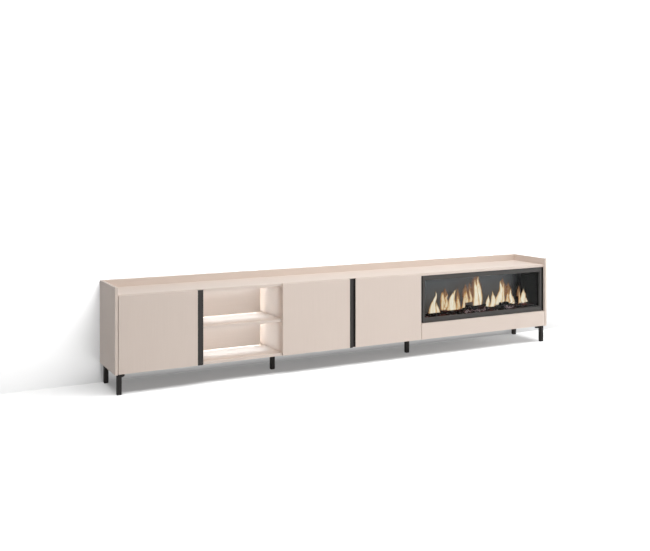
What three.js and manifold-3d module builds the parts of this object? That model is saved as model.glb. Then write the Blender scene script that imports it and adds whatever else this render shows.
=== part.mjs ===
// Long low television cabinet: three doors, a lit niche and an electric fire behind glass.
// Millimetres. Places are measured from the cabinet's left front corner on the floor: X runs to
// the right, Y from the front to the wall and Z up. The whole is then centred on its footprint.
import * as THREE from 'three';
import { ConvexGeometry } from 'three/addons/geometries/ConvexGeometry.js';
import { mergeVertices } from 'three/addons/utils/BufferGeometryUtils.js';
import Module from 'manifold-3d';

const wasm = await Module();
wasm.setup();

// Driving dimensions of the cabinet
const overallWidth = 3100;
const overallDepth = 350;
const overallHeight = 596;
const legHeight = 114;
const panelThickness = 16;
const shelfThickness = 18;
const galleryHeight = 44;
const frontRecess = 18;
const doorGap = 3;
const backThickness = 3;

// Widths along the front, from left to right
const doorOneWidth = 457;
const pullOneWidth = 33;
const nicheWidth = 506;
const doorTwoWidth = 464;
const pullTwoWidth = 21;
const fingerGap = 20;
const doorThreeWidth = 498;

// Heights inside
const nicheShelfHeight = 318;
const fireShelfHeight = 203;
const doorShelfShare = 0.4925;

// Clearances shared by the pieces that meet
const fitClearance = 0.3;
const cutOverrun = 2;
const boardEase = 1;
const weldTolerance = 0.0001;

// Places that follow from the driving dimensions
const sideInner = panelThickness;
const rightSideInner = overallWidth - panelThickness;
const doorOneLeft = sideInner + doorGap;
const doorOneRight = doorOneLeft + doorOneWidth;
const nicheLeft = doorOneRight + pullOneWidth;
const nicheRight = nicheLeft + nicheWidth;
const doorTwoRight = nicheRight + doorTwoWidth;
const pullTwoRight = doorTwoRight + pullTwoWidth;
const doorThreeLeft = pullTwoRight + fingerGap;
const doorThreeRight = doorThreeLeft + doorThreeWidth;
const basePanelLeft = doorThreeRight + doorGap;
const basePanelRight = rightSideInner - doorGap;
const nicheSeam = nicheRight + panelThickness / 2;
const fireSeam = doorThreeRight + doorGap / 2;
const topSurface = overallHeight - galleryHeight;
const topUnderside = topSurface - shelfThickness;
const floorSurface = legHeight + shelfThickness;
const doorShelfHeight = floorSurface + doorShelfShare * (topUnderside - floorSurface);
const doorBottom = legHeight + doorGap;
const doorTop = topSurface - doorGap;
const doorThickness = panelThickness;
const carcaseFront = frontRecess;
const carcaseBack = overallDepth - backThickness;
const galleryFront = overallDepth - panelThickness;
const fireShelfTop = fireShelfHeight + shelfThickness;

// Finishes
const cashmere = { color: 0xdccdc2, roughness: 0.55, metalness: 0 };
const cashmereBack = { color: 0xd6c8bd, roughness: 0.7, metalness: 0 };
const blackMetal = { color: 0x2b2927, roughness: 0.45, metalness: 0.2 };
const fireMetal = { color: 0x4b4845, roughness: 0.5, metalness: 0.2 };
const fireLining = { color: 0x3a3a3b, roughness: 0.6, metalness: 0.1 };
const hingeSteel = { color: 0xb5b7b8, roughness: 0.3, metalness: 0.9 };
const lampDiffuser = { color: 0xfff4e4, roughness: 0.4, metalness: 0 };
const inletPlastic = { color: 0x1c1c1c, roughness: 0.7, metalness: 0 };
const clearGlass = { color: 0xd8dcdc, roughness: 0.05, metalness: 0 };
const charredBark = { color: 0x2c221d, roughness: 0.9, metalness: 0 };
const emberGlow = { color: 0x4a2a22, roughness: 0.9, metalness: 0 };
const flameGlow = { color: 0xf5dfae, roughness: 0.5, metalness: 0 };

// The whole cabinet, with its places measured from the left front corner
const cabinet = new THREE.Group();
const fromLeftFront = new THREE.Group();
fromLeftFront.position.set(-overallWidth / 2, -overallDepth / 2, 0);
cabinet.add(fromLeftFront);

function addPiece(name, geometry, finish, place = [0, 0, 0]) {
  const piece = new THREE.Mesh(geometry, new THREE.MeshStandardMaterial(finish));
  piece.name = name;
  piece.position.set(...place);
  fromLeftFront.add(piece);
}

// Solid geometry for joining and cutting
function solidOf(geometry) {
  const bare = geometry.clone();
  bare.deleteAttribute('normal');
  bare.deleteAttribute('uv');
  const merged = mergeVertices(bare, weldTolerance);
  return new wasm.Manifold(new wasm.Mesh({
    numProp: 3,
    vertProperties: new Float32Array(merged.attributes.position.array),
    triVerts: new Uint32Array(merged.index.array),
  }));
}

function geometryOf(solid) {
  const mesh = solid.getMesh();
  const geometry = new THREE.BufferGeometry();
  geometry.setAttribute('position', new THREE.BufferAttribute(mesh.vertProperties, 3));
  geometry.setIndex(new THREE.BufferAttribute(mesh.triVerts, 1));
  geometry.computeVertexNormals();
  return geometry;
}

function boxGeometry([x0, x1], [y0, y1], [z0, z1]) {
  const box = new THREE.BoxGeometry(x1 - x0, y1 - y0, z1 - z0);
  box.translate((x0 + x1) / 2, (y0 + y1) / 2, (z0 + z1) / 2);
  return box;
}

// A flat outline in X and Y, pushed up from z0 to z1
function prism(shape, z0, z1, curveSegments) {
  const geometry = new THREE.ExtrudeGeometry(shape, {
    depth: z1 - z0,
    bevelEnabled: false,
    curveSegments,
  });
  geometry.translate(0, 0, z0);
  return geometry;
}

function outline(points) {
  return new THREE.Shape(points.map(([x, y]) => new THREE.Vector2(x, y)));
}

// Board with every edge eased by the same small chamfer, built about its own centre
function easedBoardGeometry(width, depth, height) {
  const cut = boardEase * (Math.SQRT2 - 1);
  const halfWidth = width / 2 - boardEase;
  const halfDepth = depth / 2 - boardEase;
  const footprint = outline([
    [-halfWidth + cut, -halfDepth], [halfWidth - cut, -halfDepth],
    [halfWidth, -halfDepth + cut], [halfWidth, halfDepth - cut],
    [halfWidth - cut, halfDepth], [-halfWidth + cut, halfDepth],
    [-halfWidth, halfDepth - cut], [-halfWidth, -halfDepth + cut],
  ]);
  const geometry = new THREE.ExtrudeGeometry(footprint, {
    depth: height - 2 * boardEase,
    bevelEnabled: true,
    bevelThickness: boardEase,
    bevelSize: boardEase,
    bevelSegments: 1,
  });
  geometry.translate(0, 0, boardEase - height / 2);
  return geometry;
}

function easedInPlace([x0, x1], [y0, y1], [z0, z1]) {
  const board = easedBoardGeometry(x1 - x0, y1 - y0, z1 - z0);
  board.translate((x0 + x1) / 2, (y0 + y1) / 2, (z0 + z1) / 2);
  return board;
}

function easedBoard(name, [x0, x1], [y0, y1], [z0, z1], finish = cashmere) {
  const geometry = easedBoardGeometry(x1 - x0, y1 - y0, z1 - z0);
  addPiece(name, geometry, finish, [(x0 + x1) / 2, (y0 + y1) / 2, (z0 + z1) / 2]);
}

function plainBoard(name, [x0, x1], [y0, y1], [z0, z1], finish) {
  const geometry = new THREE.BoxGeometry(x1 - x0, y1 - y0, z1 - z0);
  addPiece(name, geometry, finish, [(x0 + x1) / 2, (y0 + y1) / 2, (z0 + z1) / 2]);
}

function joined(geometries) {
  const whole = geometries.map(solidOf).reduce((sum, solid) => sum.add(solid));
  return geometryOf(whole);
}

// Carcase: sides, top, gallery rails, floor boards, partitions and backs
const fullDepth = [0, overallDepth];
const boardDepth = [carcaseFront, carcaseBack];
const innerHeight = [floorSurface, topUnderside];
const partitionNicheLeft = [nicheLeft - panelThickness, nicheLeft];
const partitionNicheRight = [nicheRight, nicheRight + panelThickness];
const partitionDoors = [pullTwoRight - panelThickness / 2, pullTwoRight + panelThickness / 2];
const partitionFire = [fireSeam - panelThickness / 2, fireSeam + panelThickness / 2];

function makeCarcase() {
  const sideHeight = [legHeight, overallHeight];
  easedBoard('side_panel_left', [0, sideInner], fullDepth, sideHeight);
  easedBoard('side_panel_right', [rightSideInner, overallWidth], fullDepth, sideHeight);
  const topHeight = [topUnderside, topSurface];
  easedBoard('top_board_left', [sideInner, nicheSeam], [carcaseFront, galleryFront], topHeight);
  easedBoard('top_board_right', [nicheSeam, rightSideInner], [carcaseFront, galleryFront], topHeight);
  const railHeight = [topUnderside, overallHeight];
  easedBoard('gallery_rail_left', [sideInner, nicheSeam], [galleryFront, overallDepth], railHeight);
  easedBoard('gallery_rail_right', [nicheSeam, rightSideInner], [galleryFront, overallDepth], railHeight);
  const floorHeight = [legHeight, floorSurface];
  easedBoard('floor_board_left', [sideInner, nicheSeam], boardDepth, floorHeight);
  easedBoard('floor_board_middle', [nicheSeam, fireSeam], boardDepth, floorHeight);
  easedBoard('floor_board_right', [fireSeam, rightSideInner], boardDepth, floorHeight);
  easedBoard('partition_niche_left', partitionNicheLeft, boardDepth, innerHeight);
  easedBoard('partition_niche_right', partitionNicheRight, boardDepth, innerHeight);
  easedBoard('partition_doors', partitionDoors, boardDepth, innerHeight);
  easedBoard('partition_fire', partitionFire, boardDepth, innerHeight);
}

// Thin backs with a round outlet for leads in each cupboard and a vent behind the fire
const outletRadius = 30;
const outletDrop = 70;
const outletSides = 20;
const ventWidth = 420;
const ventHeight = 150;
const ventDrop = 60;
const outletHeight = topUnderside - outletDrop;
const cupboardOneMiddle = (sideInner + partitionNicheLeft[0]) / 2;
const cupboardTwoMiddle = (partitionNicheRight[1] + partitionDoors[0]) / 2;
const cupboardThreeMiddle = (partitionDoors[1] + partitionFire[0]) / 2;
const fireMiddle = (partitionFire[1] + rightSideInner) / 2;

function upright(shape, yFront, yBack, curveSegments) {
  const geometry = new THREE.ExtrudeGeometry(shape, {
    depth: yBack - yFront,
    bevelEnabled: false,
    curveSegments,
  });
  geometry.rotateX(Math.PI / 2);
  geometry.translate(0, yBack, 0);
  return geometry;
}

function backPanel(name, [x0, x1], holes) {
  const panel = outline([
    [x0, legHeight], [x1, legHeight], [x1, topUnderside], [x0, topUnderside],
  ]);
  panel.holes.push(...holes);
  addPiece(name, upright(panel, carcaseBack, overallDepth, outletSides / 2), cashmereBack);
}

function leadOutlet(x) {
  return new THREE.Path().absarc(x, outletHeight, outletRadius, 0, 2 * Math.PI, true);
}

function ventHole() {
  const x0 = fireMiddle - ventWidth / 2;
  const x1 = fireMiddle + ventWidth / 2;
  const z1 = topUnderside - ventDrop;
  const z0 = z1 - ventHeight;
  const corners = [[x0, z0], [x0, z1], [x1, z1], [x1, z0]];
  return new THREE.Path(corners.map(([x, z]) => new THREE.Vector2(x, z)));
}

function makeBacks() {
  backPanel('back_panel_left', [sideInner, nicheSeam], [leadOutlet(cupboardOneMiddle)]);
  backPanel('back_panel_middle', [nicheSeam, fireSeam],
    [leadOutlet(cupboardTwoMiddle), leadOutlet(cupboardThreeMiddle)]);
  backPanel('back_panel_right', [fireSeam, rightSideInner], [ventHole()]);
}

// Fixed shelves: three behind the doors, one in the niche and one under the fire
const cupboardShelfSetback = 22;

function makeShelves() {
  const cupboards = [
    ['shelf_door_1', sideInner, partitionNicheLeft[0]],
    ['shelf_door_2', partitionNicheRight[1], partitionDoors[0]],
    ['shelf_door_3', partitionDoors[1], partitionFire[0]],
  ];
  for (const [name, left, right] of cupboards) {
    easedBoard(name, [left, right], [carcaseFront + cupboardShelfSetback, carcaseBack],
      [doorShelfHeight, doorShelfHeight + shelfThickness]);
  }
  easedBoard('niche_shelf', [nicheLeft, nicheRight], boardDepth,
    [nicheShelfHeight, nicheShelfHeight + shelfThickness]);
  easedBoard('fire_shelf', [partitionFire[1], rightSideInner], boardDepth,
    [fireShelfHeight, fireShelfTop]);
  easedBoard('base_panel', [basePanelLeft, basePanelRight], [0, carcaseFront],
    [doorBottom, fireShelfTop]);
}

// Niche lighting: each bay has a panel that stands well clear of the back on a smaller block, with
// a lamp strip behind its edge that lights the back and the walls round it
const lightPanelThickness = 12;
const lightPanelGap = 8;
const lightPanelSideGap = 36;
const blockDepth = 67;
const blockSetback = 22;
const lampWidth = 9;
const lampDepth = 4;
const lightPanelBack = carcaseBack - blockDepth;

function ringBetween([x0, x1], [z0, z1], width, yFront, yBack) {
  const ring = outline([[x0, z0], [x1, z0], [x1, z1], [x0, z1]]);
  ring.holes.push(outline([
    [x0 + width, z0 + width], [x0 + width, z1 - width],
    [x1 - width, z1 - width], [x1 - width, z0 + width],
  ]));
  return upright(ring, yFront, yBack);
}

function shrunk([low, high], margin) {
  return [low + margin, high - margin];
}

function makeNicheLights() {
  const bays = {
    upper: [nicheShelfHeight + shelfThickness, topUnderside],
    lower: [floorSurface, nicheShelfHeight],
  };
  for (const [bay, height] of Object.entries(bays)) {
    const x = shrunk([nicheLeft, nicheRight], lightPanelSideGap);
    const z = shrunk(height, lightPanelGap);
    const board = easedInPlace(x, [lightPanelBack - lightPanelThickness, lightPanelBack], z);
    const block = boxGeometry(shrunk(x, blockSetback),
      [lightPanelBack - boardEase, carcaseBack], shrunk(z, blockSetback));
    addPiece(`niche_light_panel_${bay}`, joined([board, block]), cashmere);
    const lamp = ringBetween(shrunk(x, boardEase), shrunk(z, boardEase), lampWidth,
      lightPanelBack, lightPanelBack + lampDepth);
    addPiece(`niche_lamp_strip_${bay}`, lamp, lampDiffuser);
  }
}

// Concealed hinges: a cup let into the door and an arm on the cupboard wall.
// Across the door, places are measured from its hinged edge towards its middle.
const hingeInset = 90;
const cupFromEdge = 22;
const cupRadius = 17;
const cupWall = 1.2;
const cupDepth = 12;
const cupFlange = 1.2;
const cupFlangeRadius = 20;
const cupSides = 24;
const linkThickness = 9.5;
const linkHeight = 10;
const noseReach = 24;
const noseDepth = 10;
const armBody = 9;
const armHeight = 14;
const armLength = 58;
const armStep = 6;
const plateThickness = 3;
const plateHeight = 44;
const plateSetback = 14;
const plateFront = carcaseFront + plateSetback;
const plateLength = 36;
const noseFront = doorThickness + cupFlange + fitClearance;
const noseBack = noseFront + noseDepth;
const hingeHeights = { lower: doorBottom + hingeInset, upper: doorTop - hingeInset };

// Turns an outline given from the hinged edge inward into one in X, kept counterclockwise
function fromHingedEdge(edge, inward, points) {
  const placed = points.map(([across, y]) => [edge + inward * across, y]);
  return outline(inward > 0 ? placed : placed.reverse());
}

function hingeCup(edge, inward, z) {
  const profile = [
    [0, -cupDepth], [cupRadius, -cupDepth], [cupRadius, 0], [cupFlangeRadius, 0],
    [cupFlangeRadius, cupFlange], [cupRadius - cupWall, cupFlange],
    [cupRadius - cupWall, cupWall - cupDepth], [0, cupWall - cupDepth],
  ];
  const cup = new THREE.LatheGeometry(profile.map(([r, y]) => new THREE.Vector2(r, y)), cupSides);
  cup.translate(edge + inward * cupFromEdge, doorThickness, z);
  const linkStart = noseReach + fitClearance;
  const linkEnds = [edge + inward * linkStart, edge + inward * (linkStart + linkThickness)];
  const link = boxGeometry([Math.min(...linkEnds), Math.max(...linkEnds)],
    [doorThickness - cupDepth + cupWall / 2, noseBack], [z - linkHeight / 2, z + linkHeight / 2]);
  return joined([cup, link]);
}

function hingeArm(edge, inward, wall, z) {
  const seat = wall + plateThickness;
  const arm = fromHingedEdge(edge, inward, [
    [seat, noseFront], [noseReach, noseFront], [noseReach, noseBack],
    [seat + armBody, noseBack + armStep], [seat + armBody, noseFront + armLength],
    [seat, noseFront + armLength],
  ]);
  const plate = fromHingedEdge(edge, inward, [
    [wall, plateFront], [seat + cupWall, plateFront], [seat + cupWall, plateFront + plateLength],
    [wall, plateFront + plateLength],
  ]);
  return joined([
    prism(arm, z - armHeight / 2, z + armHeight / 2),
    prism(plate, z - plateHeight / 2, z + plateHeight / 2),
  ]);
}

// Doors: boards bored for their hinge cups, the third with an undercut edge to pull it by
const edgeLand = 3;
const edgeUndercut = 12;

function door(name, [x0, x1], edge, inward, undercut) {
  let solid = solidOf(easedInPlace([x0, x1], [0, doorThickness], [doorBottom, doorTop]));
  const boreRadius = cupRadius + fitClearance;
  const boreDepth = cupDepth + fitClearance;
  for (const z of Object.values(hingeHeights)) {
    const bore = new THREE.CylinderGeometry(boreRadius, boreRadius, boreDepth + cutOverrun, cupSides);
    bore.translate(edge + inward * cupFromEdge, doorThickness + (cutOverrun - boreDepth) / 2, z);
    solid = solid.subtract(solidOf(bore));
  }
  if (undercut) {
    const slope = edgeUndercut / (doorThickness - edgeLand);
    const wedge = outline([
      [x0 - cutOverrun * slope, edgeLand - cutOverrun],
      [x0 + edgeUndercut + cutOverrun * slope, doorThickness + cutOverrun],
      [x0 - cutOverrun * slope, doorThickness + cutOverrun],
    ]);
    const cut = prism(wedge, doorBottom - cutOverrun, doorTop + cutOverrun);
    solid = solid.subtract(solidOf(cut));
  }
  addPiece(name, geometryOf(solid), cashmere);
}

function makeDoors() {
  const hung = [
    { number: 1, x: [doorOneLeft, doorOneRight], edge: doorOneLeft, inward: 1, wallFace: sideInner },
    { number: 2, x: [nicheRight, doorTwoRight], edge: nicheRight, inward: 1,
      wallFace: partitionNicheRight[1] },
    { number: 3, x: [doorThreeLeft, doorThreeRight], edge: doorThreeRight, inward: -1,
      wallFace: partitionFire[0] },
  ];
  for (const { number, x, edge, inward, wallFace } of hung) {
    door(`door_${number}`, x, edge, inward, number === hung.length);
    const wall = (wallFace - edge) * inward;
    for (const [level, z] of Object.entries(hingeHeights)) {
      addPiece(`hinge_cup_${number}_${level}`, hingeCup(edge, inward, z), hingeSteel);
      addPiece(`hinge_arm_${number}_${level}`, hingeArm(edge, inward, wall, z), hingeSteel);
    }
  }
}

// Pulls: a folded black profile on the edge of a door, with a finger space behind its front
const pullWall = 2;
const pullLip = 5;
const pullRound = 1.5;
const pullSegments = 4;
const stripLap = 20;

function pull(name, doorEdge, width) {
  const section = new THREE.Shape();
  section.moveTo(0, 0);
  section.lineTo(width - pullRound, 0);
  section.absarc(width - pullRound, pullRound, pullRound, -Math.PI / 2, 0, false);
  section.lineTo(width, pullLip);
  section.lineTo(width - pullWall, pullLip);
  section.lineTo(width - pullWall, pullWall);
  section.lineTo(pullWall, pullWall);
  section.lineTo(pullWall, doorThickness);
  section.lineTo(0, doorThickness);
  section.closePath();
  const geometry = prism(section, 0, doorTop - doorBottom, pullSegments);
  addPiece(name, geometry, blackMetal, [doorEdge, 0, doorBottom]);
}

function makePulls() {
  pull('pull_door_1', doorOneRight, pullOneWidth);
  pull('pull_door_2', doorTwoRight, pullTwoWidth);
  plainBoard('recess_strip', [pullTwoRight - stripLap, doorThreeLeft + edgeUndercut + doorGap],
    [doorThickness + fitClearance, carcaseFront], [doorBottom, doorTop], blackMetal);
}

// Legs: square tube on a plastic glide, with a welded diagonal arm under each corner of the
// carcase and a flat plate under its seams
const tubeSize = 25;
const glideHeight = 4;
const glideInset = 1;
const legInset = 16;
const armWidth = 22;
const armDepth = 20;
const armReach = 42;
const footPlateSize = 60;
const footPlateThickness = 3;

function legPost() {
  const tube = easedBoardGeometry(tubeSize, tubeSize, legHeight - glideHeight);
  tube.translate(0, 0, (legHeight + glideHeight) / 2);
  const half = tubeSize / 2 - glideInset;
  return [tube, boxGeometry([-half, half], [-half, half], [0, glideHeight + boardEase])];
}

function cornerLeg(name, x, y, towardX, towardY) {
  const arm = boxGeometry([0, armReach], [-armWidth / 2, armWidth / 2],
    [legHeight - armDepth, legHeight]);
  arm.rotateZ(Math.atan2(towardY, towardX));
  addPiece(name, joined([...legPost(), arm]), blackMetal, [x, y, 0]);
}

function middleLeg(name, x, y) {
  const half = footPlateSize / 2;
  const plate = boxGeometry([-half, half], [-half, half],
    [legHeight - footPlateThickness, legHeight]);
  addPiece(name, joined([...legPost(), plate]), blackMetal, [x, y, 0]);
}

function makeLegs() {
  const near = legInset + tubeSize / 2;
  const right = overallWidth - near;
  const back = overallDepth - near;
  const middle = overallDepth / 2;
  cornerLeg('leg_front_left', near, near, 1, 1);
  cornerLeg('leg_front_right', right, near, -1, 1);
  cornerLeg('leg_back_left', near, back, 1, -1);
  cornerLeg('leg_back_right', right, back, -1, -1);
  middleLeg('leg_middle_left', nicheSeam, middle);
  middleLeg('leg_middle_right', fireSeam, middle);
}

// Electric fire: a folded housing behind a pane of glass and a bevelled frame. The housing's side
// flanges fill the cavity and fold forward along its walls.
const fireSideGap = 14;
const fireTopGap = 1;
const frameDepth = 12;
const frameRail = 30;
const frameStile = 18;
const frameBevel = 3;
const glassThickness = 4;
const glassInset = 6;
const housingInset = 3;
const housingSheet = 1.5;
const housingDepth = 200;
const flangeLipSetback = 1;
const frameLeft = partitionFire[1] + fireSideGap;
const frameRight = rightSideInner - fireSideGap;
const frameBottom = fireShelfTop;
const frameTop = topUnderside - fireTopGap;
const frameBack = carcaseFront + frameDepth;
const glassBack = frameBack + glassThickness;
const housingBack = glassBack + housingDepth;
const fireboxLeft = frameLeft + housingInset + housingSheet;
const fireboxRight = frameRight - housingInset - housingSheet;
const fireboxFloor = frameBottom + housingSheet;
const fireboxBack = housingBack - housingSheet;

// The frame's opening narrows towards the glass
function frameOpening() {
  const slope = frameBevel / frameDepth;
  const points = [];
  for (const y of [carcaseFront - cutOverrun, frameBack + cutOverrun]) {
    const bevel = (y - carcaseFront) * slope;
    for (const x of shrunk([frameLeft, frameRight], frameStile + bevel)) {
      for (const z of shrunk([frameBottom, frameTop], frameRail + bevel)) {
        points.push(new THREE.Vector3(x, y, z));
      }
    }
  }
  return new ConvexGeometry(points);
}

function makeFireFrame() {
  const x = [frameLeft, frameRight];
  const z = [frameBottom, frameTop];
  const slab = solidOf(easedInPlace(x, [carcaseFront, frameBack], z));
  addPiece('fire_frame', geometryOf(slab.subtract(solidOf(frameOpening()))), fireMetal);
  plainBoard('fire_glass', shrunk(x, glassInset), [frameBack, glassBack], shrunk(z, glassInset),
    clearGlass);
}

const inletWidth = 50;
const inletHeight = 32;
const inletDepth = 18;
const socketWidth = 28;
const socketHeight = 20;
const socketDepth = 14;
const inletFromSide = 120;
const inletRise = 30;

function makeFireHousing() {
  const x = [frameLeft + housingInset, frameRight - housingInset];
  const height = [frameBottom, frameTop];
  const cavity = [partitionFire[1], rightSideInner];
  const flange = boxGeometry(cavity, [glassBack, glassBack + housingSheet], height);
  const lips = [[cavity[0], cavity[0] + housingSheet], [cavity[1] - housingSheet, cavity[1]]];
  const lipDepth = [carcaseFront + flangeLipSetback, glassBack + housingSheet];
  const folds = lips.map((lip) => boxGeometry(lip, lipDepth, height));
  const box = boxGeometry(x, [glassBack, housingBack], height);
  const shell = solidOf(joined([box, flange, ...folds]));
  const room = boxGeometry([fireboxLeft, fireboxRight], [glassBack - cutOverrun, fireboxBack],
    [fireboxFloor, frameTop - housingSheet]);
  addPiece('fire_housing', geometryOf(shell.subtract(solidOf(room))), fireLining);
  const inletX = x[1] - inletFromSide;
  const inletZ = frameBottom + inletRise + inletHeight / 2;
  const block = solidOf(boxGeometry([inletX - inletWidth / 2, inletX + inletWidth / 2],
    [housingBack, housingBack + inletDepth], [inletZ - inletHeight / 2, inletZ + inletHeight / 2]));
  const socket = boxGeometry([inletX - socketWidth / 2, inletX + socketWidth / 2],
    [housingBack + inletDepth - socketDepth, housingBack + inletDepth + cutOverrun],
    [inletZ - socketHeight / 2, inletZ + socketHeight / 2]);
  addPiece('fire_inlet', geometryOf(block.subtract(solidOf(socket))), inletPlastic);
}

// Fire bed: a tray with a low crown of embers in front and a burner bar behind
const bedRise = 22;
const bedCrown = 9;
const bedFrontGap = 2;
const bedWidth = 66;
const bedSegments = 6;
const burnerDepth = 22;
const burnerRise = 12;
const burnerFromFront = 70;
const bedFront = glassBack + bedFrontGap;
const bedTop = fireboxFloor + bedRise;
const burnerFront = glassBack + burnerFromFront;
const burnerTop = bedTop + burnerRise;

function bedSection() {
  const section = new THREE.Shape();
  section.moveTo(bedFront, fireboxFloor + fitClearance);
  section.lineTo(fireboxBack - fitClearance, fireboxFloor + fitClearance);
  section.lineTo(fireboxBack - fitClearance, bedTop);
  section.lineTo(burnerFront + burnerDepth, bedTop);
  section.lineTo(burnerFront + burnerDepth, burnerTop);
  section.lineTo(burnerFront, burnerTop);
  section.lineTo(burnerFront, bedTop);
  section.lineTo(bedFront + bedWidth, bedTop);
  section.quadraticCurveTo(bedFront + bedWidth / 2, bedTop + 2 * bedCrown, bedFront, bedTop);
  section.closePath();
  return section;
}

// The section lies in Y and Z and runs along X
function bedSolid() {
  const length = fireboxRight - fireboxLeft - 2 * fitClearance;
  const geometry = new THREE.ExtrudeGeometry(bedSection(), {
    depth: length,
    bevelEnabled: false,
    curveSegments: bedSegments,
  });
  geometry.applyMatrix4(new THREE.Matrix4().makeBasis(
    new THREE.Vector3(0, 1, 0), new THREE.Vector3(0, 0, 1), new THREE.Vector3(1, 0, 0)));
  geometry.translate(fireboxLeft + fitClearance, 0, 0);
  return solidOf(geometry);
}

function placeInBed([alongShare, depthShare, riseShare]) {
  return new THREE.Vector3(
    fireboxLeft + alongShare * (fireboxRight - fireboxLeft),
    bedFront + depthShare * bedWidth,
    bedTop + riseShare * logRadius,
  );
}

// Logs: lofted along a bent centre line, with a lumpy tapering section, and seated in the embers
const logSides = 11;
const logStations = 9;
const logTaperShare = 0.22;
const lumpShare = 0.11;
const lumpTurns = 3;
const logBend = 15;

function loft(rings) {
  const count = rings[0].length;
  const positions = rings.flat().flatMap((point) => point.toArray());
  const triangles = [];
  for (let ring = 0; ring < rings.length - 1; ring += 1) {
    for (let side = 0; side < count; side += 1) {
      const next = (side + 1) % count;
      const [a, b] = [ring * count + side, ring * count + next];
      triangles.push(a, b, b + count, a, b + count, a + count);
    }
  }
  const last = (rings.length - 1) * count;
  for (let side = 1; side < count - 1; side += 1) {
    triangles.push(0, side + 1, side, last, last + side, last + side + 1);
  }
  const geometry = new THREE.BufferGeometry();
  geometry.setAttribute('position', new THREE.Float32BufferAttribute(positions, 3));
  geometry.setIndex(triangles);
  return geometry;
}

function logSolid(start, end, radius, phase) {
  const along = new THREE.Vector3().subVectors(end, start);
  const length = along.length();
  along.normalize();
  const across = new THREE.Vector3(0, 0, 1).cross(along).normalize();
  const above = new THREE.Vector3().crossVectors(along, across);
  const rings = Array.from({ length: logStations }, (_, station) => {
    const share = station / (logStations - 1);
    const bend = Math.sin(share * Math.PI + phase) * logBend;
    const centre = start.clone().addScaledVector(along, share * length).addScaledVector(across, bend);
    return Array.from({ length: logSides }, (_unused, side) => {
      const angle = (2 * Math.PI * side) / logSides;
      const lump = 1 + lumpShare * Math.sin(lumpTurns * angle + lumpTurns * share + phase * station);
      const reach = radius * lump * (1 - logTaperShare * share);
      return centre.clone()
        .addScaledVector(across, reach * Math.cos(angle))
        .addScaledVector(above, reach * Math.sin(angle));
    });
  });
  return solidOf(loft(rings));
}

// Where each log runs: shares of the firebox width and of the bed depth, and heights in log radii
const logRadius = 16;
const logShares = {
  fire_log_1: { from: [0.04, 0.62, 0.55], to: [0.40, 0.55, 0.50], radius: 0.85, phase: 0.4 },
  fire_log_2: { from: [0.36, 0.40, 0.80], to: [0.62, 0.66, 1.00], radius: 1.15, phase: 1.7 },
  fire_log_3: { from: [0.60, 0.62, 0.70], to: [0.96, 0.44, 0.60], radius: 1.00, phase: 2.6 },
  fire_log_4: { from: [0.44, 0.72, 2.20], to: [0.55, 0.50, 2.90], radius: 0.75, phase: 3.5 },
};

// Small stones moulded into the embers in front of the logs
const stoneRadius = 9;
const stoneFlatShare = 0.62;
const stoneDepthShare = 0.22;
const stoneRiseShare = 0.38;
const stoneShares = [0.41, 0.435, 0.465, 0.49, 0.52, 0.545, 0.575, 0.77, 0.795, 0.82, 0.85, 0.88, 0.905];

function stoneSolid(alongShare, index) {
  const stone = new THREE.IcosahedronGeometry(stoneRadius, 1);
  const stretch = 1 + lumpShare * Math.cos(index * lumpTurns);
  stone.scale(stretch, 1 - lumpShare * Math.sin(index), stoneFlatShare);
  stone.rotateZ(index);
  const sway = lumpShare * Math.sin(index * lumpTurns);
  const place = placeInBed([alongShare, stoneDepthShare + sway, stoneRiseShare]);
  stone.translate(place.x, place.y, place.z);
  return solidOf(stone);
}

// What is left of a piece once its support, grown by the clearance on every side, is taken away.
// Chips that the cut leaves loose are dropped.
function seatedOn(solid, support) {
  const gap = fitClearance;
  const shifts = [[0, 0, gap], [gap, 0, 0], [-gap, 0, 0], [0, gap, 0], [0, -gap, 0]];
  const cut = shifts.reduce((rest, shift) => rest.subtract(support.translate(shift)), solid);
  const bySize = cut.decompose().sort((a, b) => b.volume() - a.volume());
  return bySize[0];
}

function makeFireBed() {
  let placed = stoneShares.map(stoneSolid).reduce((sum, stone) => sum.add(stone), bedSolid());
  addPiece('fire_bed', geometryOf(placed), emberGlow);
  for (const [name, shares] of Object.entries(logShares)) {
    const raw = logSolid(placeInBed(shares.from), placeInBed(shares.to),
      shares.radius * logRadius, shares.phase);
    const log = seatedOn(raw, placed);
    placed = placed.add(log);
    addPiece(name, geometryOf(log), charredBark);
  }
}

// Flame tongues rise from one foot on the burner bar. Each row: place along the window, width and
// lean as shares of the window width, and height as a share of the room above the burner.
const tongueThickness = 2.5;
const tongueSpacing = 4.5;
const tongueLayers = 4;
const tongueSegments = 5;
const tongueFoot = 3;
const tongueShares = [
  [0.135, 0.083, 0.002, 0.64], [0.172, 0.041, -0.015, 0.34], [0.212, 0.047, 0.004, 0.62],
  [0.241, 0.045, 0.004, 0.60], [0.294, 0.093, 0.039, 0.65], [0.346, 0.043, 0, 0.41],
  [0.388, 0.030, 0.001, 0.57], [0.419, 0.045, -0.002, 0.62], [0.448, 0.045, -0.005, 0.61],
  [0.490, 0.057, -0.006, 0.90], [0.519, 0.053, -0.005, 0.93], [0.601, 0.051, 0.012, 0.41],
  [0.638, 0.063, 0.006, 0.52], [0.699, 0.071, 0.010, 0.76], [0.742, 0.051, 0.001, 0.68],
  [0.780, 0.045, 0.005, 0.48], [0.815, 0.055, -0.006, 0.50], [0.895, 0.041, -0.005, 0.375],
  [0.933, 0.077, -0.007, 0.49],
];
const windowLeft = frameLeft + frameStile + frameBevel;
const windowRight = frameRight - frameStile - frameBevel;
const windowTop = frameTop - frameRail - frameBevel;

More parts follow.
